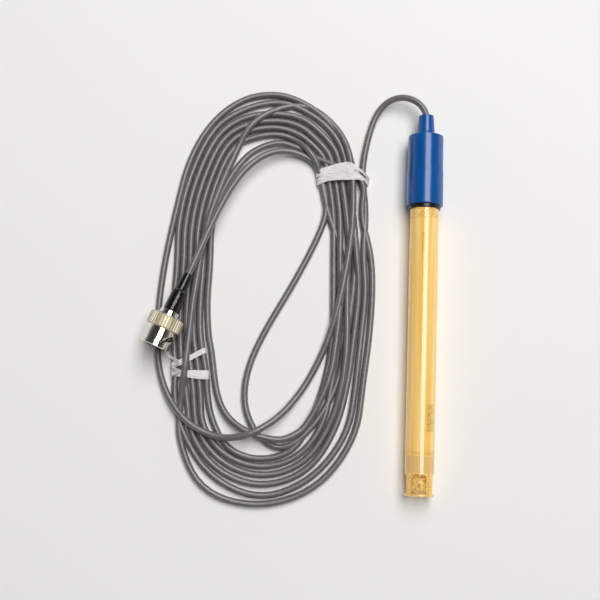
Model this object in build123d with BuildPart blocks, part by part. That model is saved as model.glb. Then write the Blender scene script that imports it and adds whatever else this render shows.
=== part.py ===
from build123d import *
from math import atan2, cos, degrees, pi, radians, sin, sqrt, tan
import os

# A laboratory pH electrode: an amber moulded tube with a slotted guard round its glass bulb,
# a blue cap, and a thin screened lead, coiled and tied, that ends in a bayonet plug.
# Millimetres, +Z up. The electrode lies along Y on its cap's rim and its tube's tip, with the
# cap at +Y and the lead's coil at -X. The origin is on the floor under the electrode's middle.

os.makedirs("parts", exist_ok=True)

# Driving sizes of the tube and its bulb guard
tube_d = 12.0
tube_wall = 1.1
tube_bore_d = tube_d - 2 * tube_wall
tube_seat_step = 0.25
tube_seat_d = tube_d - 2 * tube_seat_step
tube_seat_gap = 0.3
tube_shown = 119.8
tube_in_cap = 14.0
tip_chamfer = 0.4
guard_ring_h = 1.0
window_h = 7.9
window_w_share = 0.5
window_corner_share = 0.27
window_turn = -9.0

# Driving sizes of the cap
cap_len = 39.2
rim_wall = 1.7
rim_d = tube_d + 2 * rim_wall
rim_edge_r = 0.4
draft = 0.15
draft_d = rim_d - 2 * draft
step_up = 15.3
step_in = 0.08
shoulder_d = draft_d - 2 * draft
shoulder_up = 29.9
shoulder_r = 2.4
nose_len = 7.4
nose_root_d = 7.4
nose_root_r = 0.5
nose_tip_d = 6.3
nose_tip_r = 1.2
cap_wall = 2.0
flare_len = 1.8
flare = 0.35
seal_wall = 0.6
seal_d = tube_d + 2 * seal_wall
seal_shown = 1.5
seal_in_cap = 2.0
seal_edge_r = 0.4

# Driving sizes of what the tube holds
bulb_gap = 0.8
bulb_d = tube_bore_d - 2 * bulb_gap
bulb_wall = 0.4
bulb_recess = 0.9
reference_gap = 1.9
stem_d = tube_bore_d - 2 * reference_gap
stem_wall = 0.7
bulb_collar = 0.4
stem_past_tube = 3.0
stopper_in = 5.0
stopper_head = 0.8
inner_wire_d = 0.5
end_seal_len = 6.8
end_seal_gap = 0.2
frit_share = 0.63
frit_d = reference_gap * frit_share
frit_proud = 0.3
reference_turn = 85.0
reference_wire_d = 0.6
pellet_share = 0.68
pellet_d = reference_gap * pellet_share
pellet_len = 11.0
pellet_gap = 9.4
potting_len = 6.0
potting_down = 9.0

# Driving sizes of the lead and its strain relief
cable_d = 2.8
core_d = 1.5
clamp_d = 5.2
clamp_len = 3.4
screen_d = 0.6
core_bare = 15.0
fit_gap = 0.02
slip_gap = 0.08

# Driving sizes of the bayonet plug, along its axis from the boot's cable end
boot_len = 17.0
boot_slim_len = 7.4
boot_step_len = 1.0
boot_end_d = 3.9
boot_slim_d = 4.9
boot_root_d = 6.4
boot_d = 6.7
boot_edge_r = 0.4
jacket_in_boot = 10.0
crimp_stem_d = 3.2
ferrule_d = 4.8
ferrule_bore_d = 3.5
ferrule_start = 8.8
ferrule_len = 8.4
hub_d = 8.4
nut_start = 19.5
nut_len = 13.4
nut_d = 14.5
nut_bore_d = 9.8
flange_h = 1.2
knurl_len = 5.5
knurl_edge = 0.5
knurl_count = 40
knurl_depth = 0.25
neck_len = 0.8
neck_d = 11.8
sleeve_d = 12.5
sleeve_groove_back = 2.5
sleeve_groove_w = 0.35
sleeve_groove_depth = 0.2
sleeve_edge = 0.3
slot_w = 2.2
slot_start = 7.4
slot_rise = 2.8
slot_sweep = 50.0
slot_turn = -80.0
detent_d = 2.5
entry_d = 11.2
slide_travel = 0.7
thrust_h = 0.5
spring_h = 1.2
spring_t = 0.25
collar_h = 2.0
contact_d = 8.1
contact_bore_d = 7.0
contact_recess = 2.2
contact_seat = 1.6
contact_slot_w = 0.5
contact_slot_len = 4.8
insulator_base = 2.2
insulator_bore_d = 4.9
insulator_recess = 3.0
spigot_d = 4.3
spigot_len = 3.0
pin_d = 1.36
pin_recess = 2.5
pin_taper = 1.2
pin_tip_d = 0.7
gasket_h = 0.9
snap_ring_h = 0.5
snap_ring_d = 10.2
snap_groove_depth = 0.3

# Where the plug's boot takes the lead, and how far the plug is turned from -Y towards -X
plug_x = -97.2
plug_y = 7.4
plug_turn = 22.3
lay_gap = 0.35
nut_edge_gap = 3.0

# Driving sizes of the coil and its two ties
coil_w = 84.0
coil_len = 176.0
coil_x = -62.5
coil_y = 0.0
coil_edge_share = 0.8
tape_w = 4.0
tape_t = 0.4
tie_edge_r = 1.5

# The electrode's axis, tilted so that the rim and the tip both touch the floor
tube_r = tube_d / 2
bore_r = tube_bore_d / 2
rim_w = tube_shown
total_len = tube_shown + cap_len
tilt = atan2(rim_d / 2 - tube_r, rim_w + rim_edge_r - tip_chamfer)
tip_y = -(total_len * cos(tilt) - (tube_d - nose_tip_d) / 2 * sin(tilt)) / 2
tip_z = tube_r * cos(tilt) - tip_chamfer * sin(tilt)
tip_point = Vector(0, tip_y, tip_z)
along = Vector(0, cos(tilt), sin(tilt))
upward = Vector(0, -sin(tilt), cos(tilt))
electrode_axis = Axis(tip_point, along)
electrode_section = Plane(origin=tip_point, x_dir=(1, 0, 0), z_dir=upward)


def on_axis(distance):
    """A point of the electrode's axis, at a distance from the tip."""
    return tip_point + along * distance


def across_tube(distance):
    """The plane across the electrode, with its x to +X and its y downwards."""
    return Plane(origin=on_axis(distance), x_dir=(1, 0, 0), z_dir=along)


def beside_axis(radius, turn):
    """Local place at a turn from the top towards +X, in a plane across the tube."""
    return radius * sin(radians(turn)), -radius * cos(radians(turn))


def turned(outline, plane, axis):
    """A piece revolved from an outline of radius and distance along its axis."""
    with BuildPart() as piece:
        with BuildSketch(plane):
            with BuildLine():
                Polyline(*outline, close=True)
            make_face()
        revolve(axis=axis)
    return piece


def ring_outline(inner_d, outer_d, start, length):
    """The outline of a plain ring."""
    inner_r, outer_r = inner_d / 2, outer_d / 2
    return [(inner_r, start), (outer_r, start), (outer_r, start + length), (inner_r, start + length)]


def save(piece, name):
    """Label a finished piece and write its file."""
    piece.part.label = name
    export_step(piece.part, f"parts/{name}.step")


# Body tube: one amber moulding, open at the tip, with four round-topped windows that leave
# four posts and a thin ring round the bulb, and slightly slimmer where the cap sits on it
tube_len = tube_shown + tube_in_cap
tube_seat_w = tube_shown - seal_shown - tube_seat_gap
tube_seat_r = tube_seat_d / 2
window_top = guard_ring_h + window_h
window_w = tube_d * window_w_share
window_corner_r = window_w * window_corner_share


def guard_plane(turn):
    """The plane through the axis that faces a window."""
    facing = upward * cos(radians(turn)) + Vector(1, 0, 0) * sin(radians(turn))
    return Plane(origin=tip_point, x_dir=along.cross(facing), z_dir=facing)


with BuildPart() as body_tube:
    with BuildSketch(electrode_section):
        with BuildLine():
            Polyline(
                (bore_r, 0),
                (tube_r - tip_chamfer, 0),
                (tube_r, tip_chamfer),
                (tube_r, tube_seat_w),
                (tube_seat_r, tube_seat_w),
                (tube_seat_r, tube_len),
                (bore_r, tube_len),
                close=True,
            )
        make_face()
    revolve(axis=electrode_axis)
    for quarter in (0, 90):
        with BuildSketch(guard_plane(window_turn + quarter)) as window:
            with Locations((0, guard_ring_h + window_h / 2)):
                Rectangle(window_w, window_h)
            fillet(window.vertices().group_by(Axis.Y)[-1], window_corner_r)
        extrude(amount=tube_d, both=True, mode=Mode.SUBTRACT)
save(body_tube, "body_tube")

# Cap: a blue moulding with a tapered nose for the lead, a sloped shoulder, a slight step where
# its grip begins, and a bore that is glued over the tube's end
cap_bore_d = tube_seat_d + 2 * fit_gap
seal_seat_d = seal_d + 2 * fit_gap
tube_top = tube_len
nose_root_w = total_len - nose_len
shoulder_w = rim_w + shoulder_up
step_w = rim_w + step_up
clamp_seat_w = nose_root_w - cap_wall / 2
clamp_bore_d = clamp_d + 2 * fit_gap
cavity_top = clamp_seat_w - clamp_len - cap_wall / 2
cavity_d = cap_bore_d - cap_wall / 2
lead_hole_d = cable_d + 2 * fit_gap

with BuildPart() as cap:
    with BuildSketch(electrode_section) as cap_profile:
        with BuildLine():
            Polyline(
                (seal_seat_d / 2, rim_w),
                (rim_d / 2, rim_w),
                (draft_d / 2 + step_in, step_w - step_in),
                (draft_d / 2, step_w),
                (shoulder_d / 2, shoulder_w),
                (nose_root_d / 2, nose_root_w),
                (nose_tip_d / 2, total_len),
                (lead_hole_d / 2 + flare, total_len),
                (lead_hole_d / 2, total_len - flare_len),
                (lead_hole_d / 2, clamp_seat_w),
                (clamp_bore_d / 2, clamp_seat_w),
                (clamp_bore_d / 2, cavity_top),
                (cavity_d / 2, cavity_top),
                (cavity_d / 2, tube_top),
                (cap_bore_d / 2, tube_top),
                (cap_bore_d / 2, rim_w + seal_in_cap),
                (seal_seat_d / 2, rim_w + seal_in_cap),
                close=True,
            )
        make_face()
        corners = cap_profile.vertices()
        fillet(corners.sort_by_distance((rim_d / 2, rim_w))[0], rim_edge_r)
        fillet(corners.sort_by_distance((shoulder_d / 2, shoulder_w))[0], shoulder_r)
        fillet(corners.sort_by_distance((nose_root_d / 2, nose_root_w))[0], nose_root_r)
        fillet(corners.sort_by_distance((nose_tip_d / 2, total_len))[0], nose_tip_r)
    revolve(axis=electrode_axis)
save(cap, "cap")

# Seal ring: black rubber, in the cap's rim round the tube
with BuildPart() as seal_ring:
    with BuildSketch(electrode_section) as seal_profile:
        with BuildLine():
            Polyline(*ring_outline(cap_bore_d, seal_d, rim_w - seal_shown, seal_shown + seal_in_cap), close=True)
        make_face()
        seal_corner = (seal_d / 2, rim_w - seal_shown)
        fillet(seal_profile.vertices().sort_by_distance(seal_corner)[0], seal_edge_r)
    revolve(axis=electrode_axis)
save(seal_ring, "seal_ring")

# Sensing bulb: thin blown glass, fused to the stem by a short collar
bulb_r = bulb_d / 2
bulb_bore_r = bulb_r - bulb_wall
bulb_w = bulb_recess + bulb_r
stem_r = stem_d / 2
stem_bore_r = stem_r - stem_wall
neck_w = bulb_w + sqrt(bulb_r**2 - stem_r**2)
inner_neck_w = bulb_w + sqrt(bulb_bore_r**2 - stem_bore_r**2)
stem_start = neck_w + bulb_collar

with BuildPart() as sensing_bulb:
    with BuildSketch(electrode_section):
        with BuildLine():
            ThreePointArc((0, bulb_w - bulb_r), (bulb_r, bulb_w), (stem_r, neck_w))
            Line((stem_r, neck_w), (stem_r, stem_start))
            Line((stem_r, stem_start), (stem_bore_r, stem_start))
            Line((stem_bore_r, stem_start), (stem_bore_r, inner_neck_w))
            ThreePointArc((stem_bore_r, inner_neck_w), (bulb_bore_r, bulb_w), (0, bulb_w - bulb_bore_r))
            Line((0, bulb_w - bulb_bore_r), (0, bulb_w - bulb_r))
        make_face()
    revolve(axis=electrode_axis)
save(sensing_bulb, "sensing_bulb")

# Stem tube: the glass tube that carries the bulb and its filling
stem_top = tube_len + stem_past_tube
stem_tube = turned(
    ring_outline(2 * stem_bore_r, stem_d, stem_start, stem_top - stem_start), electrode_section, electrode_axis
)
save(stem_tube, "stem_tube")

# Stem stopper: a silicone plug with a head, round the inner wire
inner_hole_r = inner_wire_d / 2 + fit_gap
stopper_r = stem_bore_r - fit_gap
stem_stopper = turned(
    [
        (inner_hole_r, stem_top - stopper_in),
        (stopper_r, stem_top - stopper_in),
        (stopper_r, stem_top),
        (stem_r, stem_top),
        (stem_r, stem_top + stopper_head),
        (inner_hole_r, stem_top + stopper_head),
    ],
    electrode_section,
    electrode_axis,
)
save(stem_stopper, "stem_stopper")

# Inner wire: chlorided silver, from the bulb's middle to the lead's core
jacket_end = clamp_seat_w - clamp_len
core_end = stem_top + stopper_head + (jacket_end - stem_top - stopper_head) / 4
with BuildPart() as inner_wire:
    with BuildSketch(across_tube(bulb_w)):
        Circle(inner_wire_d / 2)
    extrude(amount=core_end - bulb_w)
save(inner_wire, "inner_wire")

# End seal: the resin plug that closes the tube round the stem, above the windows, with a
# hole for the porous junction
reference_r = (stem_r + bore_r) / 2
seal_start = window_top + end_seal_gap
reference_place = beside_axis(reference_r, reference_turn)
with BuildPart() as end_seal:
    with BuildSketch(across_tube(seal_start)):
        Circle(bore_r - fit_gap)
        Circle(stem_r + fit_gap, mode=Mode.SUBTRACT)
        with Locations(reference_place):
            Circle(frit_d / 2 + fit_gap, mode=Mode.SUBTRACT)
    extrude(amount=end_seal_len)
save(end_seal, "end_seal")

# Junction frit: the porous ceramic pin through the end seal
with BuildPart() as junction_frit:
    with BuildSketch(across_tube(seal_start - frit_proud)):
        with Locations(reference_place):
            Circle(frit_d / 2)
    extrude(amount=end_seal_len + 2 * frit_proud)
save(junction_frit, "junction_frit")

# Potting plug: dark resin that closes the tube's other end round the stem and the wire
potting_start = tube_len - potting_down
reference_hole_r = reference_wire_d / 2 + fit_gap
with BuildPart() as potting_plug:
    with BuildSketch(across_tube(potting_start)):
        Circle(bore_r - fit_gap)
        Circle(stem_r + fit_gap, mode=Mode.SUBTRACT)
        with Locations(reference_place):
            Circle(reference_hole_r, mode=Mode.SUBTRACT)
    extrude(amount=potting_len)
save(potting_plug, "potting_plug")

# Reference wire: silver, beside the stem, with a cast silver chloride pellet round its end
pellet_start = seal_start + end_seal_len + pellet_gap
reference_top = tube_len
with BuildPart() as reference_wire:
    with BuildSketch(across_tube(pellet_start)):
        with Locations(reference_place):
            Circle(reference_wire_d / 2)
    extrude(amount=reference_top - pellet_start)
save(reference_wire, "reference_wire")

with BuildPart() as reference_pellet:
    with BuildSketch(across_tube(pellet_start)):
        with Locations(reference_place):
            Circle(pellet_d / 2)
            Circle(reference_hole_r, mode=Mode.SUBTRACT)
    extrude(amount=pellet_len)
save(reference_pellet, "reference_pellet")

# Signal core: the lead's insulated inner conductor, bared inside the cap
with BuildPart() as signal_core:
    with BuildSketch(across_tube(core_end)):
        Circle(core_d / 2)
    extrude(amount=jacket_end - core_end)
save(signal_core, "signal_core")

# Screen tail: the lead's twisted screen, led across to the reference wire
tail_r = core_d / 2 + screen_d / 2 + fit_gap


def beside_tube(radius, distance):
    """A point on the reference wire's side of the axis."""
    side, down = beside_axis(radius, reference_turn)
    return on_axis(distance) + Vector(1, 0, 0) * side - upward * down


with BuildPart() as screen_tail:
    with BuildLine() as tail_path:
        FilletPolyline(
            beside_tube(reference_r, reference_top),
            beside_tube(reference_r, core_end),
            beside_tube(tail_r, jacket_end - clamp_len),
            beside_tube(tail_r, jacket_end),
            radius=clamp_len,
        )
    with BuildSketch(Plane(origin=beside_tube(reference_r, reference_top), z_dir=along)):
        Circle(screen_d / 2)
    sweep()
save(screen_tail, "screen_tail")

# Cable clamp: a crimped ring on the jacket, which the nose's shoulder holds back
cable_clamp = turned(
    ring_outline(lead_hole_d, clamp_d, jacket_end, clamp_len), electrode_section, electrode_axis
)
save(cable_clamp, "cable_clamp")

# The plug's axis is level, high enough for its nut to clear the strand of lead below it
nut_r = nut_d / 2
plug_z = cable_d + lay_gap + nut_r
plug_point = Vector(plug_x, plug_y, plug_z)
ahead = Vector(-sin(radians(plug_turn)), -cos(radians(plug_turn)), 0)
plug_axis = Axis(plug_point, ahead)
plug_section = Plane(origin=plug_point, x_dir=(0, 0, 1), z_dir=Vector(0, 0, 1).cross(ahead))


def across_plug(distance, turn=0):
    """The plane across the plug at a distance along it, its x turned from the top about its axis."""
    over = Vector(0, 0, 1)
    beside = ahead.cross(over)
    x_dir = over * cos(radians(turn)) + beside * sin(radians(turn))
    return Plane(origin=plug_point + ahead * distance, x_dir=x_dir, z_dir=ahead)


# Boot: a black moulded sleeve, slim over the lead and stepped out over the ferrule
boot_root_w = boot_slim_len + boot_step_len
with BuildPart() as boot:
    with BuildSketch(plug_section) as boot_profile:
        with BuildLine():
            Polyline(
                (lead_hole_d / 2, 0),
                (boot_end_d / 2, 0),
                (boot_slim_d / 2, boot_slim_len),
                (boot_root_d / 2, boot_root_w),
                (boot_d / 2, boot_len),
                (ferrule_d / 2 + fit_gap, boot_len),
                (ferrule_d / 2 + fit_gap, ferrule_start),
                (lead_hole_d / 2, ferrule_start),
                close=True,
            )
        make_face()
        fillet(boot_profile.vertices().sort_by_distance((boot_end_d / 2, 0))[0], boot_edge_r)
        fillet(boot_profile.vertices().sort_by_distance((boot_root_d / 2, boot_root_w))[0], boot_edge_r)
    revolve(axis=plug_axis)
save(boot, "boot")

# Crimp ferrule: the steel sleeve that is pressed over the screen and the stem
crimp_ferrule = turned(
    ring_outline(ferrule_bore_d, ferrule_d, ferrule_start, ferrule_len), plug_section, plug_axis
)
save(crimp_ferrule, "crimp_ferrule")

# Places along the plug that the nut, its spring and the body share
hub_start = ferrule_start + ferrule_len + fit_gap
thrust_start = nut_start + flange_h + slip_gap
spring_start = thrust_start + thrust_h + fit_gap
collar_start = spring_start + spring_h + fit_gap
collar_end = collar_start + collar_h
contact_start = collar_end - contact_seat
nut_end = nut_start + nut_len
collar_d = nut_bore_d - 2 * slip_gap
snap_start = nut_start - snap_ring_h - slip_gap
snap_bore_d = hub_d - 2 * snap_groove_depth
core_hole_d = core_d + 2 * fit_gap

# Plug body: turned brass, plated, with a crimp stem, a hub with the snap ring's groove, and a
# collar that holds the outer contact
spigot_start = contact_start - spigot_len
plug_body = turned(
    [
        (core_hole_d / 2, jacket_in_boot),
        (crimp_stem_d / 2, jacket_in_boot),
        (crimp_stem_d / 2, hub_start),
        (hub_d / 2, hub_start),
        (hub_d / 2, snap_start - fit_gap),
        (snap_bore_d / 2 - fit_gap, snap_start - fit_gap),
        (snap_bore_d / 2 - fit_gap, snap_start + snap_ring_h + fit_gap),
        (hub_d / 2, snap_start + snap_ring_h + fit_gap),
        (hub_d / 2, collar_start),
        (collar_d / 2, collar_start),
        (collar_d / 2, collar_end),
        (contact_d / 2 + fit_gap, collar_end),
        (contact_d / 2 + fit_gap, contact_start),
        (spigot_d / 2 + fit_gap, contact_start),
        (spigot_d / 2 + fit_gap, spigot_start),
        (core_hole_d / 2, spigot_start),
    ],
    plug_section,
    plug_axis,
)
save(plug_body, "plug_body")

# Plug core: the lead's insulated conductor, from the jacket's end to the pin
with BuildPart() as plug_core:
    with BuildSketch(across_plug(jacket_in_boot)):
        Circle(core_d / 2)
    extrude(amount=spigot_start - jacket_in_boot)
save(plug_core, "plug_core")

# Outer contact: a thin plated tube, slit into four spring fingers
contact_end = nut_end - contact_recess
with BuildPart() as outer_contact:
    with BuildSketch(across_plug(contact_start)):
        Circle(contact_d / 2)
        Circle(contact_bore_d / 2, mode=Mode.SUBTRACT)
    extrude(amount=contact_end - contact_start)
    with BuildSketch(across_plug(contact_end - contact_slot_len)):
        for quarter in (0, 90):
            Rectangle(2 * contact_d, contact_slot_w, rotation=quarter)
    extrude(amount=2 * contact_slot_len, mode=Mode.SUBTRACT)
save(outer_contact, "outer_contact")

# Insulator: white plastic, with a spigot in the body and a sleeve round the pin
insulator_end = nut_end - insulator_recess
insulator_base_end = contact_start + insulator_base
insulator_r = contact_bore_d / 2 - fit_gap
insulator = turned(
    [
        (pin_d / 2 + fit_gap, spigot_start),
        (spigot_d / 2, spigot_start),
        (spigot_d / 2, contact_start),
        (insulator_r, contact_start),
        (insulator_r, insulator_end),
        (insulator_bore_d / 2, insulator_end),
        (insulator_bore_d / 2, insulator_base_end),
        (pin_d / 2 + fit_gap, insulator_base_end),
    ],
    plug_section,
    plug_axis,
)
save(insulator, "insulator")

# Centre pin: gilt, with a tapered tip
pin_end = nut_end - pin_recess
with BuildPart() as centre_pin:
    with BuildSketch(plug_section):
        with BuildLine():
            Polyline(
                (0, spigot_start),
                (pin_d / 2, spigot_start),
                (pin_d / 2, pin_end - pin_taper),
                (pin_tip_d / 2, pin_end),
                (0, pin_end),
                close=True,
            )
        make_face()
    revolve(axis=plug_axis)
save(centre_pin, "centre_pin")

# Gasket: a rubber ring on the collar, round the outer contact
gasket = turned(
    ring_outline(contact_d + 2 * fit_gap, collar_d - 2 * slip_gap, collar_end, gasket_h), plug_section, plug_axis
)
save(gasket, "gasket")

# Spring washer: a coned steel ring between the thrust washer and the collar
spring_bore_d = hub_d + 2 * slip_gap
spring_d = collar_d - 2 * slip_gap
spring_end = spring_start + spring_h
spring_washer = turned(
    [
        (spring_bore_d / 2, spring_start),
        (spring_d / 2, spring_end - spring_t),
        (spring_d / 2, spring_end),
        (spring_bore_d / 2, spring_start + spring_t),
    ],
    plug_section,
    plug_axis,
)
save(spring_washer, "spring_washer")

# Thrust washer: the flat ring that slides with the nut and presses the spring
thrust_washer = turned(
    ring_outline(spring_bore_d, collar_d, thrust_start, thrust_h), plug_section, plug_axis
)
save(thrust_washer, "thrust_washer")

# Snap ring: the open ring in the hub's groove that stops the nut from sliding back
with BuildPart() as snap_ring:
    with BuildSketch(across_plug(snap_start)):
        Circle(snap_ring_d / 2)
        Circle(snap_bore_d / 2, mode=Mode.SUBTRACT)
        with Locations((-snap_ring_d / 2, 0)):
            Rectangle(snap_ring_d, snap_bore_d / 4, mode=Mode.SUBTRACT)
    extrude(amount=snap_ring_h)
save(snap_ring, "snap_ring")

# Coupling nut: turned and plated, with a knurled grip, a waisted neck and a sleeve in which two
# helical slots lead a socket's lugs from hidden entry channels to round detent holes
nut_bore_r = nut_bore_d / 2
sleeve_r = sleeve_d / 2
knurl_end = nut_start + knurl_len
neck_end = knurl_end + neck_len
groove_w = nut_end - sleeve_groove_back
groove_r = sleeve_r - sleeve_groove_depth
cut_past = nut_r - sleeve_r
slot_pitch = slot_rise * 360 / slot_sweep
slot_mid_r = (nut_bore_r + sleeve_r) / 2
slot_depth = sleeve_r - nut_bore_r + 2 * cut_past

# One helical slot, drawn round +Z from +X upwards, before it is set in the nut
with BuildPart() as slot_tool:
    with BuildLine() as slot_path:
        Helix(pitch=slot_pitch, height=slot_rise, radius=slot_mid_r)
    with BuildSketch(Plane(origin=slot_path.line @ 0, x_dir=(1, 0, 0), z_dir=slot_path.line % 0)):
        Rectangle(slot_depth, slot_w)
    sweep(is_frenet=True)

with BuildPart() as coupling_nut:
    with BuildSketch(plug_section):
        with BuildLine():
            Polyline(
                (hub_d / 2 + slip_gap, nut_start),
                (nut_r - knurl_edge, nut_start),
                (nut_r, nut_start + knurl_edge),
                (nut_r, knurl_end - knurl_edge),
                (nut_r - knurl_edge, knurl_end),
                (neck_d / 2, knurl_end),
                (neck_d / 2, neck_end),
                (sleeve_r, neck_end),
                (sleeve_r, groove_w - sleeve_groove_w),
                (groove_r, groove_w - sleeve_groove_w),
                (groove_r, groove_w),
                (sleeve_r, groove_w),
                (sleeve_r, nut_end - sleeve_edge),
                (sleeve_r - sleeve_edge, nut_end),
                (nut_bore_r, nut_end),
                (nut_bore_r, nut_start + flange_h),
                (hub_d / 2 + slip_gap, nut_start + flange_h),
                close=True,
            )
        make_face()
    revolve(axis=plug_axis)
    with BuildSketch(across_plug(nut_start)):
        with PolarLocations(nut_r, knurl_count):
            Rectangle(knurl_depth * sqrt(2), knurl_depth * sqrt(2), rotation=45)
    extrude(amount=knurl_len, mode=Mode.SUBTRACT)
    for half in (0, 180):
        detent_turn = slot_turn + half
        entry_turn = detent_turn + slot_sweep
        slot_frame = across_plug(nut_start + slot_start, detent_turn)
        add(slot_tool.part.moved(slot_frame.location), mode=Mode.SUBTRACT)
        for end_w, end_turn, end_d in (
            (slot_start, detent_turn, detent_d),
            (slot_start + slot_rise, entry_turn, slot_w),
        ):
            end_frame = across_plug(nut_start + end_w, end_turn)
            with BuildSketch(Plane(origin=end_frame.origin, x_dir=ahead, z_dir=end_frame.x_dir)):
                Circle(end_d / 2)
            extrude(amount=nut_r, mode=Mode.SUBTRACT)
        with BuildSketch(across_plug(nut_start + slot_start + slot_rise, entry_turn)):
            with Locations((entry_d / 4, 0)):
                Rectangle(entry_d / 2, slot_w)
        extrude(amount=nut_len, mode=Mode.SUBTRACT)
save(coupling_nut, "coupling_nut")

# The lead's stretches that are not coiled, in their order from the cap: each passes through
# points chosen by hand, and each bend is as large as its two runs allow
nose_point = on_axis(total_len)
bend_share = 0.45
lead_start = on_axis(jacket_end)
lead_points = [
    lead_start,
    on_axis(total_len + flare_len),
    (-4.0, 86.6, 7.6),
    (-10.8, 88.9, 6.0),
    (-17.4, 86.4, 4.0),
    (-21.6, 80.4, 2.2),
    (-24.2, 71.0, 1.5),
    (-26.4, 61.8, 3.0),
]
loop_low_points = [
    (-46.4, -53.4, 2.8),
    (-58.4, -59.6, 4.2),
    (-69.6, -56.4, 4.6),
    (-77.8, -50.0, 2.8),
    (-84.4, -43.0, 1.8),
    (-88.8, -37.6, 2.8),
]
loop_cross_points = [
    (-34.4, 1.0, 5.0),
    (-39.4, -17.6, 2.6),
    (-47.4, -34.6, 1.6),
    (-57.0, -48.0, 4.0),
    (-68.8, -56.8, 7.8),
    (-83.4, -58.8, 8.8),
    (-96.0, -52.0, 7.8),
    (-104.4, -40.4, 3.4),
    (-109.8, -25.0, 1.4),
    (-110.8, -5.6, 1.4),
    (-109.4, 15.4, 1.4),
    (-106.0, 36.0, 1.4),
    (-101.0, 58.0, 1.4),
    (-92.0, 76.0, 1.4),
    (-79.0, 87.0, 1.8),
    (-65.4, 89.8, 2.8),
    (-54.0, 87.0, 4.0),
]
loop_inner_points = [
    (-53.6, -62.6, 2.6),
    (-62.0, -60.4, 1.6),
    (-69.4, -53.6, 1.4),
    (-73.6, -42.4, 1.4),
    (-72.6, -28.8, 1.4),
    (-66.4, -13.6, 1.4),
    (-55.6, 5.0, 1.4),
    (-46.0, 24.8, 1.4),
    (-41.6, 37.0, 1.5),
    (-40.4, 48.0, 2.8),
]
plug_entry = plug_point + ahead * jacket_in_boot
tail_points = [
    (-56.0, 64.2, 4.2),
    (-66.6, 61.6, 5.4),
    (-76.4, 54.0, 7.2),
    (-83.4, 42.2, 8.2),
    (-88.4, 30.4, 9.2),
    (-92.6, 19.4, 10.1),
    plug_point - ahead * cable_d,
    plug_entry,
]


def bend_radii(points):
    """The largest even radius at each corner of a route."""
    radii = []
    for before, corner, after in zip(points, points[1:], points[2:]):
        run_in, run_out = corner - before, after - corner
        turn = radians(run_in.get_angle(run_out))
        radii.append(bend_share * min(run_in.length, run_out.length) / tan(turn / 2))
    return radii


def lay_cable(points, name):
    """A plain round tube along one stretch of the lead."""
    route = [Vector(point) for point in points]
    radii = bend_radii(route)
    with BuildPart() as stretch:
        with BuildLine() as path:
            FilletPolyline(*route, radius=radii)
        with BuildSketch(Plane(origin=route[0], z_dir=route[1] - route[0])):
            Circle(cable_d / 2)
        sweep()
    length = sum(edge.length for edge in path.edges())
    share = stretch.part.volume / (pi * cable_d**2 / 4 * length)
    print(name, "length", round(length, 1), "volume share", round(share, 4), "radii", [round(r, 1) for r in radii])
    save(stretch, name)


lay_cable(lead_points, "cable_lead")
lay_cable(loop_low_points, "cable_loop_low")
lay_cable(loop_cross_points, "cable_loop_cross")
lay_cable(loop_inner_points, "cable_loop_inner")
lay_cable(tail_points, "cable_tail")

# Coil: the tied turns of the lead as one closed ring, two strands high, a tape's thickness
# above the floor, and hollowed where the nut lies on it; its outlines are shares of half its
# width and half its length
outer_shares = [
    (-0.97, 0.41),
    (-0.98, 0.10),
    (-0.98, -0.17),
    (-0.94, -0.43),
    (-0.87, -0.66),
    (-0.75, -0.83),
    (-0.53, -0.94),
    (-0.22, -0.99),
    (0.13, -0.96),
    (0.45, -0.88),
    (0.69, -0.76),
    (0.85, -0.59),
    (0.94, -0.38),
    (0.99, -0.09),
    (1.00, 0.15),
    (0.95, 0.40),
    (0.90, 0.60),
    (0.82, 0.73),
    (0.66, 0.85),
    (0.43, 0.95),
    (0.13, 0.99),
    (-0.19, 0.96),
    (-0.49, 0.89),
    (-0.73, 0.77),
    (-0.89, 0.60),
]
inner_shares = [
    (-0.59, 0.27),
    (-0.62, -0.02),
    (-0.63, -0.22),
    (-0.62, -0.42),
    (-0.55, -0.56),
    (-0.40, -0.68),
    (-0.16, -0.73),
    (0.15, -0.70),
    (0.37, -0.60),
    (0.52, -0.44),
    (0.59, -0.22),
    (0.59, 0.08),
    (0.53, 0.36),
    (0.44, 0.55),
    (0.42, 0.66),
    (0.30, 0.73),
    (0.07, 0.73),
    (-0.16, 0.69),
    (-0.36, 0.58),
    (-0.50, 0.44),
]
coil_h = 2 * cable_d


def coil_outline(shares):
    """Points of an outline of the coil, from their shares."""
    return [(coil_x + coil_w / 2 * x, coil_y + coil_len / 2 * y) for x, y in shares]


with BuildPart() as cable_coil:
    with BuildSketch(Plane.XY.offset(tape_t)):
        with BuildLine():
            Spline(*coil_outline(outer_shares), periodic=True)
        make_face()
        with BuildLine():
            Spline(*coil_outline(inner_shares), periodic=True)
        make_face(mode=Mode.SUBTRACT)
    extrude(amount=coil_h)
    rims = cable_coil.faces().filter_by(Axis.Z).edges()
    fillet(rims, coil_edge_share * cable_d)
    with BuildSketch(across_plug(boot_len)):
        Circle(nut_r + lay_gap)
    extrude(amount=nut_end + nut_edge_gap - boot_len, mode=Mode.SUBTRACT)
save(cable_coil, "cable_coil")

# Upper tie: a flat plastic tape wound twice round the right limb, its end folded into a loop
upper_tie_x = -34.4
upper_tie_y = 54.2
upper_tie_w = 22.6
upper_wrap_turns = (5.0, -4.0)
wrap_step = 0.45
tie_h = coil_h + 2 * tape_t
fold_h = 3.6
fold_corner_r = 0.8
fold_corners = [(0, 3.4), (0, -3.0), (5.2, -4.2), (6.2, -2.2)]


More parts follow.
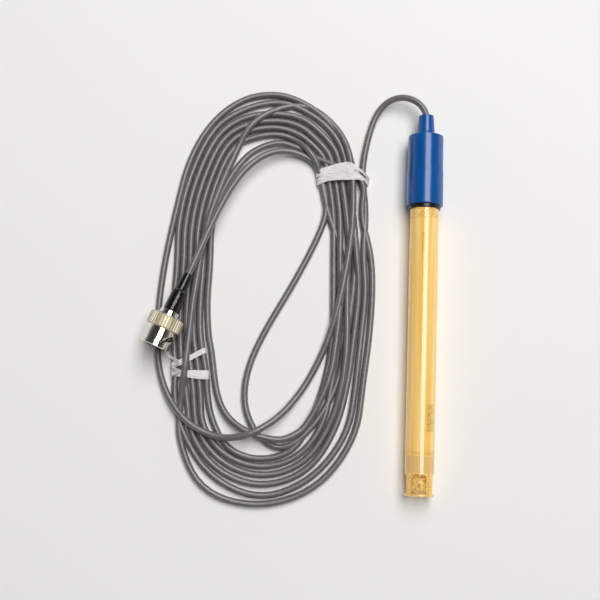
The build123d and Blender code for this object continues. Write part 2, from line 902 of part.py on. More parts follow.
def wrap(centre_x, centre_y, width, turn):
    """One wrap of tape: a rounded band round the strands, turned about Z."""
    facing = Vector(sin(radians(turn)), cos(radians(turn)), 0)
    with BuildPart() as band:
        with BuildSketch(Plane(origin=(centre_x, centre_y, tie_h / 2), x_dir=(0, 0, 1), z_dir=facing)):
            RectangleRounded(tie_h, width + 2 * tape_t, tie_edge_r + tape_t)
            RectangleRounded(tie_h - 2 * tape_t, width, tie_edge_r, mode=Mode.SUBTRACT)
        extrude(amount=tape_w / 2, both=True)
    return band.part


with BuildPart() as upper_tie:
    for side, turn in zip((-1, 1), upper_wrap_turns):
        add(wrap(upper_tie_x, upper_tie_y + side * wrap_step * tape_w, upper_tie_w, turn))
    fold_x = upper_tie_x + upper_tie_w / 2
    with BuildSketch(Plane(origin=(fold_x, upper_tie_y, tape_t))) as fold:
        with BuildLine():
            Polyline(*fold_corners, close=True)
        make_face()
        fillet(fold.vertices(), fold_corner_r)
        offset(amount=-tape_t, mode=Mode.SUBTRACT)
    extrude(amount=fold_h)
save(upper_tie, "upper_tie")

# Lower tie: the same tape round the left limb, one wrap level and one slanted, with its ends
# folded to and fro on top of the strands
lower_tie_x = -95.6
lower_tie_y = -31.2
lower_tie_w = 16.8
lower_wrap_turns = (0.0, -26.0)
lower_wrap_steps = (-2.2, 2.2)
knot_x = -100.8
knot_y = -31.4
knot_w = 1.2
knot_h = 2.6
knot_folds = [(-2.4, 4.6), (2.2, 2.6), (-2.0, 0.4), (2.2, -2.0), (-2.2, -4.4)]

with BuildPart() as lower_tie:
    for step, turn in zip(lower_wrap_steps, lower_wrap_turns):
        add(wrap(lower_tie_x, lower_tie_y + step, lower_tie_w, turn))
    with BuildSketch(Plane(origin=(knot_x, knot_y, tie_h - tape_t))):
        with BuildLine():
            Polyline(*knot_folds)
        trace(line_width=knot_w)
    extrude(amount=knot_h)
save(lower_tie, "lower_tie")
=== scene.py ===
import math

import bpy
import numpy as np
from mathutils import Matrix, Vector


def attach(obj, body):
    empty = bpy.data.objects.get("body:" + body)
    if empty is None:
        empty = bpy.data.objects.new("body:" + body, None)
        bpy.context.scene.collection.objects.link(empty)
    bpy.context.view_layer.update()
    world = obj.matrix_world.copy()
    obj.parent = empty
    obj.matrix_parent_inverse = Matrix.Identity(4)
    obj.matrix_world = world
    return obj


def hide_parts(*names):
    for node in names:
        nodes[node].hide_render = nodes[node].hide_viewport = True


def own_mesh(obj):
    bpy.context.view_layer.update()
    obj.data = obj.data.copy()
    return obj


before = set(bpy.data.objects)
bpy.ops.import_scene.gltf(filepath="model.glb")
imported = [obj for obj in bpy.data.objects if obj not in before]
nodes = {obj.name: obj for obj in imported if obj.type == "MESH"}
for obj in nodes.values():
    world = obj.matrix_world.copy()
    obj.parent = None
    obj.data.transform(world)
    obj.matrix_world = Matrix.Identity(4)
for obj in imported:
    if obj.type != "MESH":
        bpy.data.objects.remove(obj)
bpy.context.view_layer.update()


# The lead: one length of thin screened cable in a grey satin jacket. It leaves the cap's nose,
# is coiled nine times into a flat oval that two ties hold, and ends in the plug's boot.
MM = 0.001
lead_d = 2.8
lead_r = lead_d / 2

# Its loose stretches: out of the cap, three loops that leave the bundle, and into the boot
lead_out = [
    (0.0, 68.4, 8.1),
    (0.0, 76.4, 8.2),
    (0.0, 81.3, 8.3),
    (-4.0, 86.6, 7.6),
    (-10.8, 88.9, 6.0),
    (-17.4, 86.4, 4.0),
    (-21.6, 80.4, 2.2),
    (-24.2, 71.0, 1.5),
    (-25.8, 61.8, 1.8),
]
low_loop = [
    (-46.4, -53.4, 2.8),
    (-52.4, -57.6, 4.0),
    (-58.4, -59.4, 4.2),
    (-70.2, -56.8, 4.4),
    (-79.3, -50.6, 2.8),
    (-83.8, -41.9, 1.6),
    (-85.8, -31.0, 1.4),
    (-87.0, -23.0, 1.4),
]
cross_loop = [
    (-34.0, 0.6, 5.0),
    (-38.7, -18.0, 2.6),
    (-46.6, -35.4, 1.6),
    (-56.4, -48.8, 4.0),
    (-67.0, -56.2, 7.2),
    (-75.2, -59.0, 6.0),
    (-84.3, -58.7, 4.6),
    (-96.2, -53.2, 4.6),
    (-105.6, -41.0, 1.8),
    (-110.0, -25.0, 1.4),
    (-110.2, -5.6, 1.4),
    (-108.4, 15.4, 1.4),
    (-105.0, 36.0, 1.4),
    (-101.0, 58.0, 1.4),
    (-92.0, 76.0, 1.4),
    (-79.0, 87.0, 1.4),
    (-65.4, 89.8, 1.6),
    (-54.0, 87.0, 1.6),
    (-42.6, 79.6, 1.6),
    (-33.6, 68.0, 1.6),
]
inner_loop = [
    (-53.6, -62.6, 1.8),
    (-62.2, -61.2, 1.4),
    (-69.4, -53.6, 1.4),
    (-73.0, -42.4, 1.4),
    (-71.4, -28.8, 1.4),
    (-65.0, -13.6, 1.4),
    (-54.6, 5.0, 1.4),
    (-45.0, 24.8, 1.4),
    (-40.8, 37.0, 1.4),
    (-41.8, 46.6, 1.6),
]
under_tie = [
    (-44.2, 54.0, 1.8),
    (-47.4, 60.4, 1.8),
]
into_boot = [
    (-57.0, 64.0, 3.2),
    (-66.8, 62.2, 5.4),
    (-76.4, 54.0, 7.2),
    (-83.4, 42.2, 8.2),
    (-88.4, 30.4, 9.2),
    (-92.6, 19.4, 10.1),
    (-96.1, 10.0, 10.4),
    (-101.0, -1.9, 10.4),
]

# Where the bundle's inner and outer edges are at each station round the coil, from the upper
# tie down the right limb, along the bottom, up the left limb and over the arch
stations = [
    ((-45.6, 54.0), (-24.4, 54.0)),
    ((-42.2, 37.0), (-21.9, 37.0)),
    ((-39.3, 21.0), (-20.6, 21.0)),
    ((-38.4, 4.0), (-19.8, 4.0)),
    ((-38.0, -17.0), (-20.3, -17.0)),
    ((-40.4, -34.0), (-22.3, -34.6)),
    ((-44.6, -50.0), (-27.4, -56.0)),
    ((-52.6, -60.6), (-41.6, -76.6)),
    ((-64.8, -64.9), (-64.0, -87.4)),
    ((-76.6, -60.8), (-86.8, -78.6)),
    ((-83.8, -51.6), (-97.6, -59.6)),
    ((-86.4, -42.0), (-102.2, -44.3)),
    ((-87.2, -31.2), (-103.0, -31.2)),
    ((-87.8, -17.0), (-104.0, -17.0)),
    ((-88.2, -2.0), (-104.4, -2.0)),
    ((-88.0, 14.0), (-103.8, 13.6)),
    ((-87.6, 31.4), (-104.0, 30.4)),
    ((-84.4, 48.0), (-100.4, 51.6)),
    ((-76.0, 59.0), (-88.6, 71.0)),
    ((-69.6, 62.4), (-77.0, 80.6)),
    ((-61.9, 64.4), (-62.6, 86.8)),
    ((-55.4, 64.8), (-50.4, 85.6)),
    ((-50.6, 63.6), (-40.0, 78.6)),
    ((-46.6, 59.6), (-30.6, 69.0)),
]
# Each turn's place across the bundle at those stations, from 0 inside to 1 outside; a turn has
# no place where it leaves the bundle in one of the loops above
turn_shares = [
    [.92, .86, .75, .82, .73, .77, .91, .88, .84, .82, .86, .94,
     .90, .91, .92, .89, .95, .98, 1.21, 1.12, .96, .87, .84, .77],
    [.62, .62, .60, .64, .56, .59, .62, .70, .62, .65, .80, .60,
     .70, .80, .77, .74, .82, .80, 1.03, .94, .74, .68, .60, .58],
    [.48, .48, .45, .44, .41, .44, .42, .52, .44, .47, .62, .43,
     .49, .62, .63, .61, .66, .62, .87, .75, .60, .51, .40, .38],
    [.36, .36, .26, .30, .25, .29, .24, .34, .275, .31, .42, .28,
     .30, .46, .46, .48, .47, .44, .69, .61, .46, .34, .26, .25],
    [.23, .21, .10, .08, .12, .10, .12, .17, .13, .19, .11, .13,
     .10, .30, .33, .34, .33, .28, .50, .43, .33, .17, .05, .05],
    [.07, .12, .31, .25, .16, .19] + [None] * 7 + [.05, .11, .08, .17, .05, .10, .16, .17, .08, .04, .10],
    [.97, .76, .95, .94, .93, .93, 1.11, 1.10, .98, 1.16, 1.10, .76,
     .66, .54, .45, .34, .23, .08, .38, .73, .90, .95, .97, .82],
    [.74, .62, .46] + [None] * 21,
    [.79, .50, .60, .45, .35, .30, .20] + [None] * 17,
]
# The height at which each turn is laid there, in strands: 0 on the floor, 1 and 2 on others
layers = [
    "000000000000000000000000",
    "111111000000000000001111",
    "110011000000000000111111",
    "111000000000000000001111",
    "110000000000000000000011",
    "000111000000000000000000",
    "110000000022222222222222",
    "222000000000000000000000",
    "000000000000000000000000",
]

# Where the boot takes the lead, the way the plug points, and the room under its nut
plug_start = (-97.2, 7.4, 10.4)
plug_turn = math.radians(22.3)
plug_way = Vector((-math.sin(plug_turn), -math.cos(plug_turn), 0.0))
nut_r = 7.25
nut_gap = 0.2
nut_reach = nut_r + lead_r + nut_gap
nut_from, nut_to = 17.0, 36.0

# Strands lie on the floor, or on a tie's tape, and come to rest in small steps
tie_stations = (0, 12)
tape_t = 0.4
rise_share = 0.9
settle_steps = 240
pull_share = 0.04
sink_step = 0.03


def settled(inner, outer, strands, floor):
    """Lays round strands in one cross-section: none overlap, none sink, and each keeps near its place."""
    across = Vector((outer[0] - inner[0], outer[1] - inner[1]))
    width = across.length
    names = sorted(strands)
    want = np.array([strands[n][0] * width for n in names])
    place = np.array([[strands[n][0] * width, floor + strands[n][1] * lead_d * rise_share] for n in names])
    mid = Vector(inner)
    start = Vector(plug_start).to_2d()
    way = plug_way.to_2d().normalized()
    ahead = way.dot(across.normalized())
    for _ in range(settle_steps):
        place[:, 0] += pull_share * (want - place[:, 0])
        place[:, 1] -= sink_step
        for i in range(len(names)):
            for j in range(i + 1, len(names)):
                gap = place[j] - place[i]
                far = float(np.hypot(*gap))
                if far < lead_d:
                    push = gap / max(far, 1e-6) * (lead_d - far) / 2
                    place[i] -= push
                    place[j] += push
        for i in range(len(names)):
            spot = mid + across.normalized() * place[i, 0]
            along = (spot - start).dot(way)
            if nut_from < along < nut_to:
                side = (spot - start - way * along).length
                if side < nut_reach:
                    roof = plug_start[2] - math.sqrt(nut_reach**2 - side**2)
                    place[i, 1] = min(place[i, 1], max(roof, floor))
        place[:, 1] = np.maximum(place[:, 1], floor)
    spots = {}
    for n, (u, z) in zip(names, place):
        spot = mid + across.normalized() * u
        spots[n] = (spot.x, spot.y, z)
    return spots


laid = []
for s, (inner, outer) in enumerate(stations):
    present = {k: (row[s], int(layers[k][s])) for k, row in enumerate(turn_shares) if row[s] is not None}
    floor = lead_r + (tape_t if s in tie_stations else 0.0)
    laid.append(settled(inner, outer, present, floor))

# One turn climbs over the lower tie's straps
climber = 6
climber_z = 5.6
lower_tie_spots = laid[tie_stations[1]]
lower_tie_spots[climber] = (*lower_tie_spots[climber][:2], climber_z)

low_loop_after = (5, 5)
cross_loop_after_turn = 7
points = list(lead_out)
for k in range(len(turn_shares)):
    for s in range(len(stations)):
        if k in laid[s]:
            points.append(laid[s][k])
        if (k, s) == low_loop_after:
            points.extend(low_loop)
    if k == cross_loop_after_turn:
        points.extend(cross_loop)
points.extend(inner_loop + under_tie + into_boot)

curve = bpy.data.curves.new("lead", "CURVE")
curve.dimensions = "3D"
spline = curve.splines.new("NURBS")
spline.points.add(len(points) - 1)
for point, spot in zip(spline.points, points):
    point.co = (spot[0] * MM, spot[1] * MM, spot[2] * MM, 1.0)
spline.order_u = 3
spline.use_endpoint_u = True
curve.resolution_u = 6
curve.bevel_depth = lead_r * MM
curve.bevel_resolution = 4
lead = bpy.data.objects.new("lead", curve)
bpy.context.scene.collection.objects.link(lead)
spline.use_smooth = True


class Socket:
    """An output of a shader node that takes part in sums as a number does."""

    def __init__(self, finish, socket):
        self.finish = finish
        self.socket = socket

    def maths(self, operation, left, right):
        return self.finish.node("ShaderNodeMath", {"operation": operation}, {0: left, 1: right})

    def __add__(self, other):
        return self.maths("ADD", self, other)

    def __radd__(self, other):
        return self.maths("ADD", other, self)

    def __sub__(self, other):
        return self.maths("SUBTRACT", self, other)

    def __rsub__(self, other):
        return self.maths("SUBTRACT", other, self)

    def __mul__(self, other):
        return self.maths("MULTIPLY", self, other)

    def __rmul__(self, other):
        return self.maths("MULTIPLY", other, self)

    def __pow__(self, other):
        return self.maths("POWER", self, other)


class Finish:
    """A material: its Principled shader, and the nodes that vary it."""

    def __init__(self, name, colour, roughness, **constants):
        self.material = bpy.data.materials.new(name)
        self.material.use_nodes = True
        self.tree = self.material.node_tree
        self.shader = self.tree.nodes["Principled BSDF"]
        self.shader.inputs["Base Color"].default_value = (*colour, 1)
        self.shader.inputs["Roughness"].default_value = roughness
        for key, value in constants.items():
            self.shader.inputs[key.replace("_", " ")].default_value = value

    def node(self, kind, settings, inputs, output=0):
        """Add a node: its settings first, then the values or links of its sockets."""
        made = self.tree.nodes.new(kind)
        for key, value in settings.items():
            setattr(made, key, value)
        for key, value in inputs.items():
            if isinstance(value, Socket):
                self.tree.links.new(value.socket, made.inputs[key])
            else:
                made.inputs[key].default_value = value
        return Socket(self, made.outputs[output])

    def place(self):
        return self.node("ShaderNodeTexCoord", {}, {}, "Object")

    def noise(self, size_mm, detail=2.0, vector=None):
        """Cloudy unevenness, a few millimetres or less from one spot to the next."""
        inputs = {"Vector": vector or self.place(), "Scale": 1000 / size_mm, "Detail": detail}
        return self.node("ShaderNodeTexNoise", {}, inputs, "Fac")

    def stretched(self, x, y, z):
        """The place, with each direction scaled, so that a pattern runs along one of them."""
        scaled = {0: self.place(), 1: (x, y, z)}
        return self.node("ShaderNodeVectorMath", {"operation": "MULTIPLY"}, scaled)

    def ramp(self, value, low, high, new_low=0.0, new_high=1.0):
        """Lead the stretch from low to high to another, and hold both ends."""
        inputs = {"Value": value, "From Min": low, "From Max": high, "To Min": new_low, "To Max": new_high}
        return self.node("ShaderNodeMapRange", {"clamp": True}, inputs)

    def spread(self, noise, new_low=0.0, new_high=1.0):
        """A noise mostly stays between 0.3 and 0.7: that stretch is led to another."""
        return self.ramp(noise, 0.3, 0.7, new_low, new_high)

    def grained(self, size_mm, low, high):
        """Vary the roughness in fine grains."""
        self.use(Roughness=self.spread(self.noise(size_mm), low, high))

    def mix(self, share, first, second):
        first, second = [c if isinstance(c, Socket) else (*c, 1) for c in (first, second)]
        return self.node("ShaderNodeMix", {"data_type": "RGBA"}, {0: share, 6: first, 7: second}, 2)

    def bump(self, height, depth_mm, strength=1.0):
        inputs = {"Height": height, "Distance": depth_mm * MM, "Strength": strength}
        return self.node("ShaderNodeBump", {}, inputs)

    def use(self, **links):
        """Lead what varies to the shader's own sockets."""
        for key, value in links.items():
            self.tree.links.new(value.socket, self.shader.inputs[key.replace("_", " ")])


jacket = Finish("lead_jacket", (0.140, 0.128, 0.133), 0.32, IOR=1.5, Coat_Weight=0.8, Coat_Roughness=0.34)
mottle = jacket.noise(1.6, 3.0)
grain = jacket.noise(0.25)
jacket.use(
    Base_Color=jacket.mix(jacket.spread(mottle), (0.122, 0.111, 0.115), (0.166, 0.152, 0.158)),
    Roughness=jacket.spread(grain, 0.24, 0.36),
    Normal=jacket.bump(grain + mottle * 0.6, 0.05),
)
curve.materials.append(jacket.material)
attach(lead, "electrode")
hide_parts("cable_lead", "cable_coil", "cable_loop_low", "cable_loop_cross", "cable_loop_inner",
            "cable_tail")


# Upper tie: a white paper-faced wire tie, wound twice round the right limb's strands and the
# lead that passes them. Its two straps part at the left and pinch into a loop at the right.
# Each strap is a list of pairs of points, on its upper and its lower edge.
strap_cells = 3
strap_t = 0.22
weld_gap = 0.00001
upper_strap = [
    ((-46.2, 55.7, 1.9), (-46.2, 52.6, 1.7)),
    ((-45.6, 55.9, 3.3), (-45.6, 52.6, 3.0)),
    ((-43.6, 56.5, 3.9), (-43.6, 52.9, 3.7)),
    ((-40.0, 57.6, 4.3), (-40.0, 53.9, 4.3)),
    ((-36.0, 58.8, 4.8), (-36.0, 54.9, 4.9)),
    ((-32.7, 59.3, 5.5), (-32.4, 55.3, 5.7)),
    ((-30.4, 58.6, 6.0), (-30.2, 55.5, 6.1)),
    ((-28.6, 57.0, 6.1), (-28.4, 55.6, 5.8)),
    ((-26.6, 55.9, 5.5), (-26.6, 54.7, 4.8)),
    ((-24.6, 54.6, 4.4), (-24.7, 53.4, 3.4)),
    ((-22.8, 52.7, 3.0), (-23.2, 51.4, 2.0)),
    ((-23.2, 52.6, 0.9), (-23.5, 50.4, 0.6)),
    ((-25.4, 54.8, 0.3), (-25.4, 51.4, 0.3)),
    ((-31.0, 56.4, 0.3), (-31.0, 52.6, 0.3)),
    ((-38.0, 56.4, 0.3), (-38.0, 52.6, 0.3)),
    ((-44.6, 55.9, 0.3), (-44.6, 52.6, 0.3)),
]
lower_strap = [
    ((-45.9, 51.9, 1.7), (-45.5, 49.0, 1.5)),
    ((-45.3, 52.1, 3.2), (-44.7, 49.2, 2.7)),
    ((-43.6, 53.0, 4.0), (-43.0, 50.2, 3.5)),
    ((-40.0, 54.4, 4.6), (-40.0, 51.0, 4.3)),
    ((-36.0, 55.4, 5.2), (-36.0, 51.2, 4.7)),
    ((-32.0, 55.7, 6.1), (-32.0, 51.2, 5.4)),
    ((-29.6, 55.3, 6.4), (-29.4, 51.4, 5.9)),
    ((-27.6, 54.2, 5.8), (-27.4, 51.5, 5.4)),
    ((-25.8, 52.9, 4.6), (-25.8, 51.2, 4.2)),
    ((-23.6, 51.6, 3.1), (-23.8, 50.3, 2.5)),
    ((-23.3, 51.0, 1.4), (-23.6, 49.4, 0.9)),
    ((-25.6, 51.8, 0.3), (-25.6, 48.4, 0.3)),
    ((-35.0, 52.2, 0.3), (-35.0, 48.6, 0.3)),
    ((-44.0, 52.0, 0.3), (-44.0, 48.6, 0.3)),
]


def tape(name, edges, closed=True):
    """A strip of tape through pairs of points on its two edges, in millimetres."""
    pairs = edges + edges[:1] if closed else edges
    rows = len(pairs) - 1
    bpy.ops.object.select_all(action="DESELECT")
    bpy.ops.mesh.primitive_grid_add(x_subdivisions=strap_cells, y_subdivisions=rows, size=1.0)
    strip = bpy.context.object
    strip.name = name
    for vertex in strip.data.vertices:
        share = vertex.co.x + 0.5
        upper, lower = pairs[round((vertex.co.y + 0.5) * rows)]
        spot = Vector(upper).lerp(Vector(lower), share)
        vertex.co = spot * MM
    bpy.ops.object.mode_set(mode="EDIT")
    bpy.ops.mesh.select_all(action="SELECT")
    bpy.ops.mesh.remove_doubles(threshold=weld_gap)
    bpy.ops.mesh.normals_make_consistent(inside=False)
    bpy.ops.object.mode_set(mode="OBJECT")
    bpy.ops.object.shade_smooth()
    for kind in ("SUBSURF", "SOLIDIFY"):
        bpy.ops.object.modifier_add(type=kind)
    strip.modifiers[0].levels = 2
    strip.modifiers[1].thickness = strap_t * MM
    strip.modifiers[1].offset = 0
    for modifier in [m.name for m in strip.modifiers]:
        bpy.ops.object.modifier_apply(modifier=modifier)
    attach(strip, "electrode")
    return strip


paper = Finish("tie_paper", (0.80, 0.785, 0.79), 0.5)
fibre = paper.noise(0.5, 3.0)
crease = paper.noise(2.2, 2.0, paper.stretched(1.0, 3.0, 1.0))
# The paper is painted darker in the hollows of its creases and lighter on their ridges: painted shade.
paper.use(
    Base_Color=paper.mix(paper.ramp(crease, 0.35, 0.6), (0.72, 0.70, 0.71), (0.84, 0.825, 0.83)),
    Roughness=paper.spread(fibre, 0.42, 0.58),
    Normal=paper.bump(crease * 1.6 + fibre * 0.4, 0.25),
)

upper_straps = [tape("upper_tie_far", upper_strap), tape("upper_tie_near", lower_strap)]
for strap in upper_straps:
    strap.data.materials.append(paper.material)
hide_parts("upper_tie")

# Lower tie: the same paper-faced wire tie round five strands of the left limb, one strap level
# and one slanted, its ends crumpled to and fro into a knot beside the turn that lies over it
level_strap = [
    ((-87.4, -31.5, 2.2), (-87.3, -35.2, 2.2)),
    ((-87.9, -31.6, 3.2), (-87.8, -35.3, 3.2)),
    ((-90.0, -31.6, 3.5), (-90.0, -35.4, 3.5)),
    ((-93.0, -31.6, 3.5), (-93.0, -35.3, 3.5)),
    ((-96.2, -31.8, 3.5), (-96.2, -34.7, 3.5)),
    ((-99.4, -31.8, 3.5), (-99.4, -34.6, 3.5)),
    ((-102.6, -31.6, 3.4), (-102.6, -34.4, 3.4)),
    ((-103.4, -31.4, 1.8), (-103.4, -34.4, 1.8)),
    ((-102.4, -31.4, 0.3), (-102.4, -34.8, 0.3)),
    ((-96.0, -31.4, 0.3), (-96.0, -35.0, 0.3)),
    ((-89.0, -31.4, 0.3), (-89.0, -35.2, 0.3)),
    ((-87.6, -31.5, 0.8), (-87.6, -35.2, 0.8)),
]
slanted_strap = [
    ((-89.2, -22.0, 2.0), (-89.0, -24.3, 2.0)),
    ((-89.7, -22.1, 3.2), (-89.5, -24.4, 3.2)),
    ((-91.4, -23.0, 3.5), (-91.4, -25.5, 3.5)),
    ((-93.8, -24.4, 3.5), (-93.8, -26.9, 3.5)),
    ((-96.2, -25.8, 3.5), (-96.2, -28.3, 3.5)),
    ((-99.4, -27.4, 3.5), (-99.4, -30.0, 3.5)),
    ((-102.8, -28.6, 3.4), (-102.8, -31.2, 3.4)),
    ((-103.7, -28.8, 1.8), (-103.7, -31.4, 1.8)),
    ((-102.6, -28.2, 0.3), (-102.6, -30.8, 0.3)),
    ((-96.0, -25.2, 0.3), (-96.0, -27.8, 0.3)),
    ((-90.6, -22.8, 0.3), (-90.6, -25.4, 0.3)),
    ((-89.3, -22.1, 0.8), (-89.2, -24.4, 0.8)),
]
knot_strip = [
    ((-105.7, -24.9, 5.0), (-105.8, -25.5, 4.7)),
    ((-104.4, -25.7, 5.2), (-104.5, -26.4, 4.8)),
    ((-102.8, -26.6, 5.6), (-102.9, -27.8, 4.6)),
    ((-100.8, -27.6, 5.5), (-101.0, -28.8, 4.3)),
    ((-99.3, -28.3, 5.4), (-99.5, -29.6, 4.0)),
    ((-99.8, -29.0, 5.6), (-100.2, -30.2, 4.2)),
    ((-102.2, -30.0, 5.7), (-102.4, -31.4, 4.4)),
    ((-102.6, -30.7, 5.5), (-102.8, -31.8, 4.2)),
    ((-100.6, -31.4, 5.4), (-100.8, -32.6, 4.1)),
    ((-99.1, -32.0, 5.2), (-99.3, -33.2, 3.9)),
    ((-99.8, -32.8, 5.3), (-100.2, -33.9, 4.0)),
    ((-102.4, -34.0, 4.9), (-102.8, -34.8, 3.8)),
]
lower_straps = [
    tape("lower_tie_level", level_strap),
    tape("lower_tie_slanted", slanted_strap),
    tape("lower_tie_knot", knot_strip, closed=False),
]
for strap in lower_straps:
    strap.data.materials.append(paper.material)
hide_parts("lower_tie")


# Body tube: one amber moulding of clear engineering plastic, whose slotted end guards the bulb.
# The stem inside shows through it as long streaks, the pellet as a darker patch, and the end
# seal as a paler band with froth over it.
def dress(name, finish):
    """Give a CAD node its material."""
    for slot in nodes[name].material_slots:
        slot.material = finish.material


def within(finish, value, low, high, soft=0.12):
    """1 where the place is between two millimetre marks, fading at both ends."""
    rise = finish.ramp(value, (low - soft) * MM, low * MM)
    fall = finish.ramp(value, high * MM, (high + soft) * MM, 1, 0)
    return rise * fall


# The plastic is given a faint glow in its own colour: a painted glow that stands in for light passing
# through it.
amber = Finish("amber_plastic", (0.95, 0.60, 0.15), 0.08, IOR=1.5, Transmission_Weight=0.18,
               Coat_Weight=0.5, Coat_Roughness=0.05, Emission_Strength=0.12)
x, y, z = [amber.node("ShaderNodeSeparateXYZ", {}, {"Vector": amber.place()}, axis) for axis in "XYZ"]
streaks = amber.noise(1.5, 1.0, amber.stretched(1.0, 0.015, 1.0))
haze = amber.noise(3.0, 2.0)
bubbles = amber.ramp(amber.noise(0.55, 2.0), 0.52, 0.60)
seal_band = within(amber, y, -70.2, -63.5)
froth = within(amber, y, -62.9, -61.4, 0.4) + within(amber, y, 34.6, 38.4, 0.8)
froth = froth + within(amber, y, -79.0, -70.6)
pellet = within(amber, y, -53.4, -42.9, 0.5) * within(amber, x, 2.1, 4.6, 0.4)
frame_line = within(amber, x, -1.25, -0.35) * within(amber, y, 19.6, 28.0)
frame_hole = within(amber, x, -0.97, -0.63) * within(amber, y, 19.9, 27.7)
mark = (frame_line - frame_hole) * amber.ramp(z, 9 * MM, 10 * MM)
tone = amber.mix(amber.ramp(streaks, 0.35, 0.65), (0.94, 0.58, 0.13), (0.99, 0.74, 0.30))
tone = amber.mix(seal_band, tone, (0.82, 0.54, 0.20))
tone = amber.mix(bubbles * (froth + pellet) * 0.6, tone, (0.42, 0.24, 0.03))
tone = amber.mix(pellet * 0.22 + mark * 0.5, tone, (0.35, 0.20, 0.03))
amber.use(
    Base_Color=tone,
    # the same colour is the tube's painted glow
    Emission_Color=tone,
    Roughness=amber.spread(haze, 0.05, 0.11),
    Normal=amber.bump(haze, 0.012),
)
dress("body_tube", amber)

# What the tube holds: the blown glass bulb on its stem, the silver wires, the silver chloride
# pellet, the porous junction in its resin seal, the silicone stopper and the dark potting
# The glass is painted amber, a painted reflection of the amber tube round it, and given a faint painted
# glow in that colour.
glass = Finish("blown_glass", (0.97, 0.76, 0.32), 0.04, IOR=1.45, Transmission_Weight=0.5,
               Emission_Strength=0.1)
cloud = glass.noise(1.1, 2.0)
painted_amber_glow = glass.mix(glass.ramp(cloud, 0.44, 0.62), (0.98, 0.78, 0.34), (0.62, 0.38, 0.06))
glass.use(Base_Color=painted_amber_glow, Emission_Color=painted_amber_glow, Normal=glass.bump(cloud, 0.06))
for name in ("sensing_bulb", "stem_tube"):
    dress(name, glass)

wire = Finish("silver_wire", (0.80, 0.79, 0.76), 0.3, Metallic=1.0)
wire.grained(0.4, 0.2, 0.42)
for name in ("inner_wire", "reference_wire"):
    dress(name, wire)

chloride = Finish("silver_chloride", (0.14, 0.10, 0.09), 0.8)
chloride.use(Normal=chloride.bump(chloride.noise(0.3, 3.0), 0.08))
dress("reference_pellet", chloride)

ceramic = Finish("porous_ceramic", (0.80, 0.77, 0.70), 0.9)
ceramic.use(Normal=ceramic.bump(ceramic.noise(0.15, 3.0), 0.05))
dress("junction_frit", ceramic)

resin = Finish("pale_resin", (0.82, 0.50, 0.20), 0.35)
bubbles = resin.noise(0.8, 2.0)
resin.use(Base_Color=resin.mix(resin.ramp(bubbles, 0.35, 0.65), (0.76, 0.44, 0.17), (0.86, 0.58, 0.28)))
dress("end_seal", resin)

dark_resin = Finish("potting_resin", (0.05, 0.03, 0.02), 0.4)
dark_resin.grained(1.0, 0.3, 0.5)
dress("potting_plug", dark_resin)

silicone = Finish("silicone", (0.62, 0.58, 0.52), 0.6)
silicone.grained(0.8, 0.5, 0.7)
dress("stem_stopper", silicone)

# The lead's inside, bared in the cap: its black-coated core, the twisted tinned screen and the
# crimped steel ring that holds the jacket. The core shows again inside the plug.
core = Finish("core_coating", (0.03, 0.03, 0.03), 0.6)
core.grained(0.5, 0.5, 0.7)
for name in ("signal_core", "plug_core"):
    dress(name, core)

screen = Finish("tinned_strands", (0.62, 0.58, 0.50), 0.35, Metallic=1.0)
screen.use(Normal=screen.bump(screen.noise(0.2, 1.0, screen.stretched(1.0, 0.2, 1.0)), 0.08))
dress("screen_tail", screen)

clamp = Finish("clamp_steel", (0.55, 0.55, 0.55), 0.35, Metallic=1.0)
clamp.grained(0.4, 0.25, 0.45)
dress("cable_clamp", clamp)

# Cap: a deep blue moulding, faintly uneven along its sides, pushed over the tube's end and
# bonded there. A black rubber ring seals its rim, and a gasket of the same rubber the plug.
blue = Finish("cap_blue", (0.001, 0.082, 0.32), 0.2, Coat_Weight=0.25, Coat_Roughness=0.12)
flow = blue.noise(2.5, 2.0, blue.stretched(1.0, 0.35, 1.0))
pits = blue.noise(0.4)
blue.use(
    Base_Color=blue.mix(blue.spread(flow), (0.0005, 0.076, 0.30), (0.0015, 0.096, 0.36)),
    Roughness=blue.spread(pits, 0.16, 0.28),
    Normal=blue.bump(flow * 0.7 + pits * 0.3, 0.035),
)
dress("cap", blue)

rubber = Finish("black_rubber", (0.010, 0.009, 0.009), 0.25)
rubber.grained(0.5, 0.18, 0.34)
for name in ("seal_ring", "gasket"):
    dress(name, rubber)

# Boot: a glossy black sleeve, moulded in soft plastic with two steps, that is pushed over the
# lead's end and the crimp ferrule and keeps the lead from kinking there
black = Finish("boot_black", (0.008, 0.006, 0.007), 0.12)
ripple = black.noise(1.5)
black.use(Roughness=black.spread(ripple, 0.08, 0.18), Normal=black.bump(ripple, 0.2))
dress("boot", black)

# The plug's metal: turned brass under bright nickel, a steel snap ring and washers, and a gilt
# pin in its white insulator. The nut's knurled grip is duller and warmer than the rest.
grip_from, grip_to = 19.5, 25.0
nickel = Finish("bright_nickel", (0.82, 0.79, 0.73), 0.12, Metallic=1.0)
from_boot = {0: nickel.place(), 1: Vector(plug_start) * MM}
spot = nickel.node("ShaderNodeVectorMath", {"operation": "SUBTRACT"}, from_boot)
along = nickel.node("ShaderNodeVectorMath", {"operation": "DOT_PRODUCT"}, {0: spot, 1: plug_way}, "Value")
grip = within(nickel, along, grip_from, grip_to, 0.1)
lathe = nickel.noise(0.5)
tarnish = nickel.noise(2.5)
plate = nickel.mix(nickel.ramp(tarnish, 0.35, 0.65), (0.76, 0.72, 0.64), (0.84, 0.82, 0.78))
nickel.use(
    Base_Color=nickel.mix(grip, plate, (0.66, 0.595, 0.455)),
    Roughness=nickel.spread(lathe, 0.06, 0.14) + 0.40 * grip,
    Normal=nickel.bump(lathe, 0.01),
)
for name in ("coupling_nut", "plug_body", "outer_contact", "crimp_ferrule"):
    dress(name, nickel)

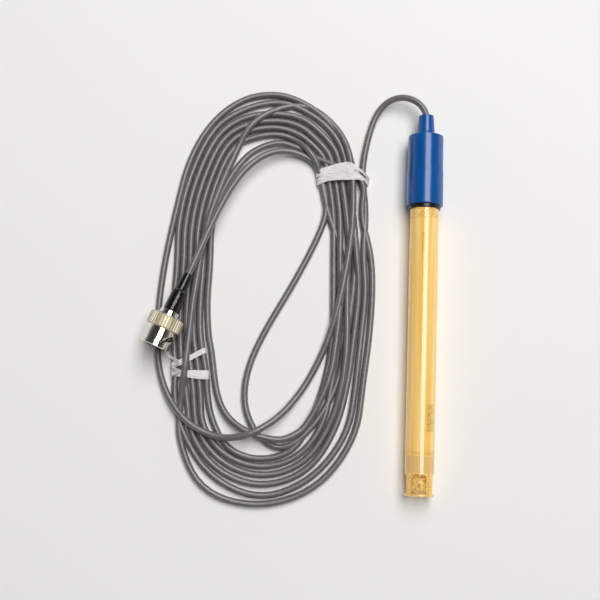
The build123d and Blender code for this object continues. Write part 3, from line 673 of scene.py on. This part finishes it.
steel = Finish("spring_steel", (0.6, 0.6, 0.6), 0.25, Metallic=1.0)
steel.grained(0.4, 0.18, 0.34)
for name in ("snap_ring", "thrust_washer", "spring_washer"):
    dress(name, steel)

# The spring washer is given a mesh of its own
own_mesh(nodes["spring_washer"])

gilt = Finish("gilt", (0.92, 0.66, 0.24), 0.2, Metallic=1.0)
gilt.grained(0.4, 0.12, 0.28)
dress("centre_pin", gilt)

white = Finish("insulator_white", (0.78, 0.77, 0.73), 0.45)
white.grained(0.6, 0.38, 0.52)
dress("insulator", white)

# Floor: a plain matt white table top, two metres wide, under the coil and the electrode, which
# takes their shadows
table_middle = Vector((-0.05, 0, 0))
bpy.ops.mesh.primitive_plane_add(size=2.0, location=table_middle)
floor_sheet = bpy.context.object
floor_sheet.name = "floor"
table = Finish("table_white", (0.93, 0.922, 0.90), 0.9)
table.grained(4.0, 0.85, 0.95)
floor_sheet.data.materials.append(table.material)

# Camera: it looks down on the table from 42 cm, a little from the bulb's end and turned a
# little, as the photograph was taken
tilt = math.radians(8.88)
roll = math.radians(2.11)
camera_place = (-0.0509, -0.0658, 0.420)
right = Vector((1, 0, 0))
up = Vector((0, math.cos(tilt), math.sin(tilt)))
back = right.cross(up)
turned_right = right * math.cos(roll) + up * math.sin(roll)
turned_up = -right * math.sin(roll) + up * math.cos(roll)
camera = bpy.data.objects.new("camera", bpy.data.cameras.new("camera"))
bpy.context.scene.collection.objects.link(camera)
camera.matrix_world = Matrix.Translation(camera_place) @ Matrix(
    (turned_right, turned_up, back)
).transposed().to_4x4()
camera.data.lens = 60.5
camera.data.sensor_width = 36.0
camera.data.clip_start = 0.01
camera.data.clip_end = 50.0
bpy.context.scene.camera = camera

# Lights: a soft room, and one long lamp over the electrode's right side, which lies along the
# tube and gives it one long highlight
class Room(Finish):
    """The light all round, brighter near the horizon than overhead."""

    def __init__(self, name):
        world = bpy.data.worlds.new(name)
        bpy.context.scene.world = world
        world.use_nodes = True
        self.tree = world.node_tree
        self.shader = self.tree.nodes["Background"]
        self.shader.inputs["Color"].default_value = (1, 1, 1, 1)


room = Room("room")
way = room.node("ShaderNodeTexCoord", {}, {}, "Generated")
height = room.node("ShaderNodeSeparateXYZ", {}, {"Vector": way}, "Z")
overhead = 0.05
horizon = 0.85
room.use(Strength=overhead + horizon * (1 - height) ** 4)
key_far = 1.45
key = bpy.data.objects.new("key", bpy.data.lights.new("key", "AREA"))
key.data.energy = 22.0
key.data.shape = "RECTANGLE"
key.data.size = 0.8
key.data.size_y = 1.5
away = Vector((0.19, 0.336, 0.922)).normalized()
side = Vector((0, 1, 0)).cross(away).normalized()
key.matrix_world = Matrix.Translation(table_middle + away * key_far) @ Matrix(
    (side, away.cross(side), away)
).transposed().to_4x4()
bpy.context.scene.collection.objects.link(key)
bpy.context.scene.view_settings.view_transform = "Standard"
